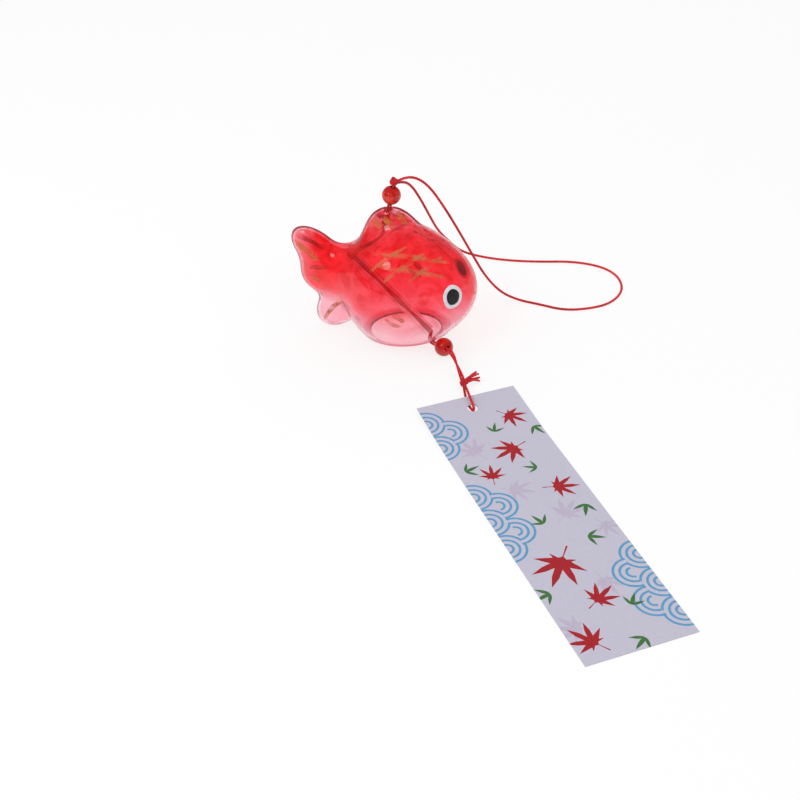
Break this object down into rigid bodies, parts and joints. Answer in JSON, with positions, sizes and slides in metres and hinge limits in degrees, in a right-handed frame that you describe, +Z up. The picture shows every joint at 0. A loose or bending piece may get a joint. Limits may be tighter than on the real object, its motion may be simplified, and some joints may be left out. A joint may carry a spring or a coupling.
{
  "type": "furin wind bell",
  "caption": "Goldfish-shaped wind bell of blown glass with a tube clapper, beads on a knotted cord, a hanging loop and a paper strip that catches the wind.",
  "frame": {"origin": "on the surface that the bell stands on, under the middle of its mouth", "axes": "+X the way the fish faces, +Y to the fish's left, +Z up"},
  "size_m": [0.1695, 0.2363, 0.0676],
  "materials": {
    "bell_glass": "blown glass tinted red, clearing to pale pink at the mouth, with painted eyes and gold strokes",
    "tube_glass": "clear drawn glass tube with fire-polished ends",
    "bead": "glossy, slightly translucent red",
    "cord": "twisted red cord",
    "paper": "matt card, printed"
  },
  "bodies": {
    "bell": {"glass_bell": "bell_glass", "neck_cord": "cord", "stopper_knot": "cord", "inner_cord": "cord", "rim_cord": "cord"},
    "top_bead": {"top_bead": "bead"},
    "hanging_loop": {"hanging_loop": "cord", "top_knot": "cord"},
    "clapper_cord": {"tube_cord": "cord", "tube_knot": "cord"},
    "clapper_tube": {"clapper_tube": "tube_glass"},
    "lower_bead": {"lower_bead": "bead"},
    "strip_cord": {"strip_cord": "cord", "strip_knot": "cord", "cord_tails": "cord"},
    "paper_strip": {"paper_strip": "paper", "strip_loop": "cord"}
  },
  "joints": [
    {"name": "top_bead_spin", "type": "hinge", "parent": "bell", "child": "top_bead", "pos_m": [-0.00792, 0.00412, 0.06022], "axis": [0.1572, 0.0686, 0.9852], "continuous": true},
    {"name": "loop_swing", "type": "hinge", "parent": "bell", "child": "hanging_loop", "pos_m": [-0.00702, 0.00452, 0.06588], "axis": [0.5447, -0.8386, 0], "range_deg": [0, 120]},
    {"name": "clapper_swing", "type": "hinge", "parent": "bell", "child": "clapper_cord", "pos_m": [-0.02231, 0.00369, 0.03047], "axis": [0, 0, 1], "range_deg": [0, 15]},
    {"name": "tube_spin", "type": "hinge", "parent": "clapper_cord", "child": "clapper_tube", "pos_m": [-0.02231, 0.00369, 0.03047], "axis": [0.7748, -0.2181, -0.5934], "continuous": true},
    {"name": "lower_bead_spin", "type": "hinge", "parent": "bell", "child": "lower_bead", "pos_m": [0.0166, -0.0126, 0.00375], "axis": [0.604, -0.7198, 0.342], "continuous": true},
    {"name": "strip_swing", "type": "hinge", "parent": "bell", "child": "strip_cord", "pos_m": [0.01886, -0.0153, 0.00503], "axis": [0, 0, 1], "range_deg": [-25, 25]},
    {"name": "strip_flap", "type": "hinge", "parent": "strip_cord", "child": "paper_strip", "pos_m": [0.02796, -0.03285, 0.0023], "axis": [-0.8406, -0.5417, 0], "range_deg": [0, 95]}
  ]
}
